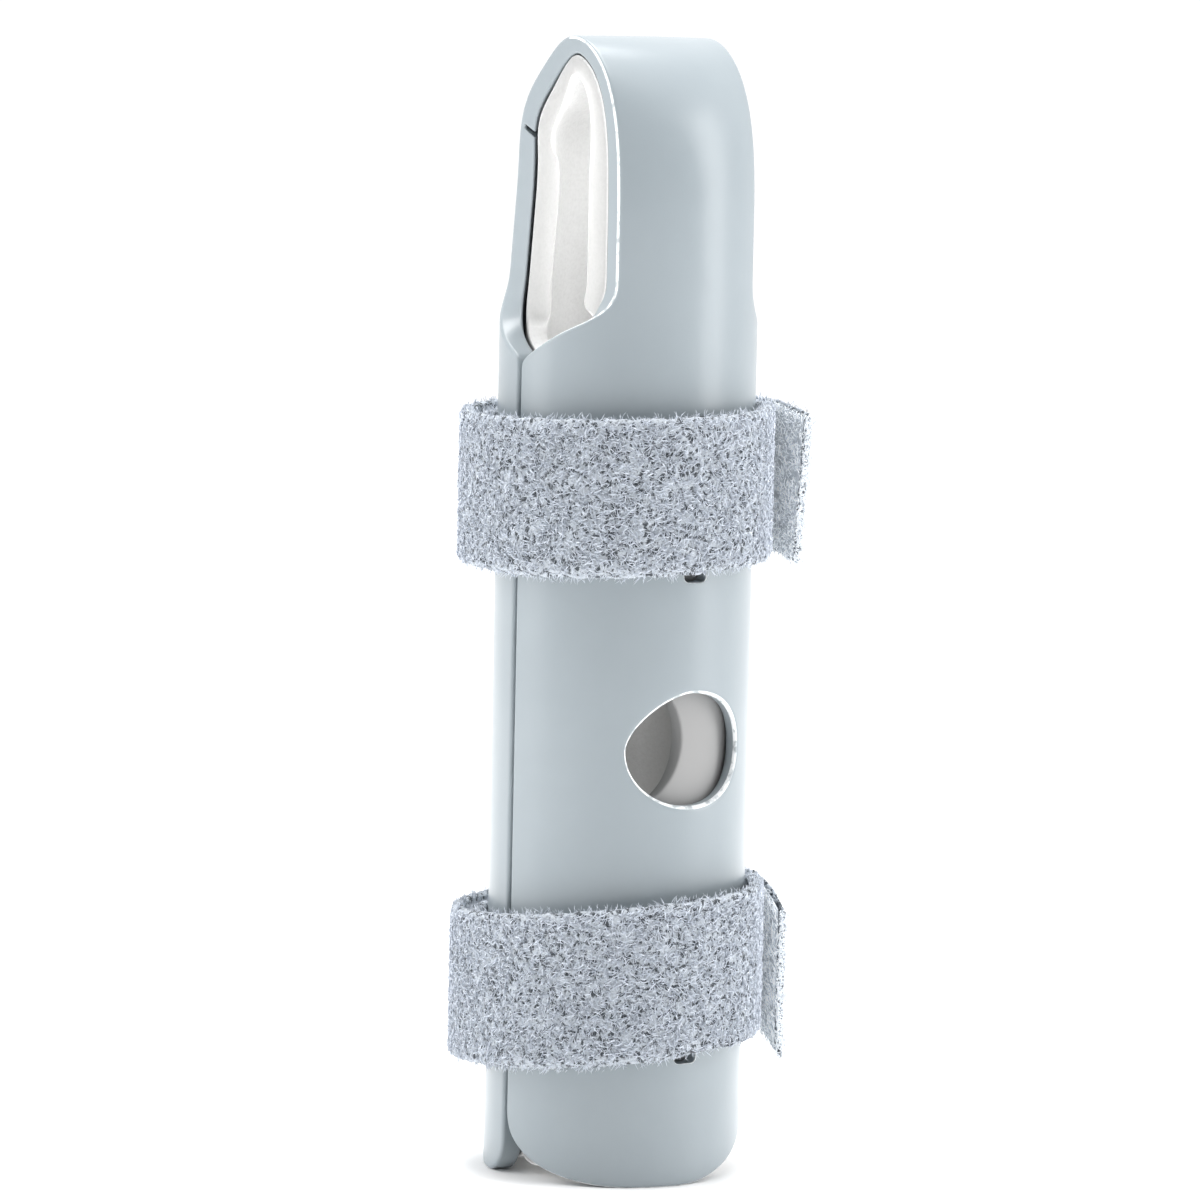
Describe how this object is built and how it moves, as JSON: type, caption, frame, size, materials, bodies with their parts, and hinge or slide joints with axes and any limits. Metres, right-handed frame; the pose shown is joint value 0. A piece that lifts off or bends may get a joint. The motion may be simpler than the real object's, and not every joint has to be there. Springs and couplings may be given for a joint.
{
  "type": "finger splint",
  "caption": "Full-length finger splint: a folded plastic shell with a foam lining, a cut-away tip and an inspection hole, closed by two wound hook-and-loop straps.",
  "frame": {"origin": "on the tube's axis, in the plane of the open lower end", "axes": "+Z along the tube to the closed tip, -Y to the front with the inspection hole, +X to the side where the straps' free tails lie"},
  "size_m": [0.0273, 0.0276, 0.0945],
  "materials": {
    "shell_plastic": "satin moulded plastic, cool light grey",
    "lining_foam": "closed-cell foam, off-white, matt",
    "strap_loop": "brushed loop fabric, blue-grey, fuzzy",
    "hook_tape": "hook tape, blue-grey, coarse"
  },
  "bodies": {
    "root": {"shell": "shell_plastic", "lining": "lining_foam", "upper_strap": "strap_loop", "upper_hook_patch": "hook_tape", "lower_strap": "strap_loop", "lower_hook_patch": "hook_tape"}
  },
  "joints": []
}
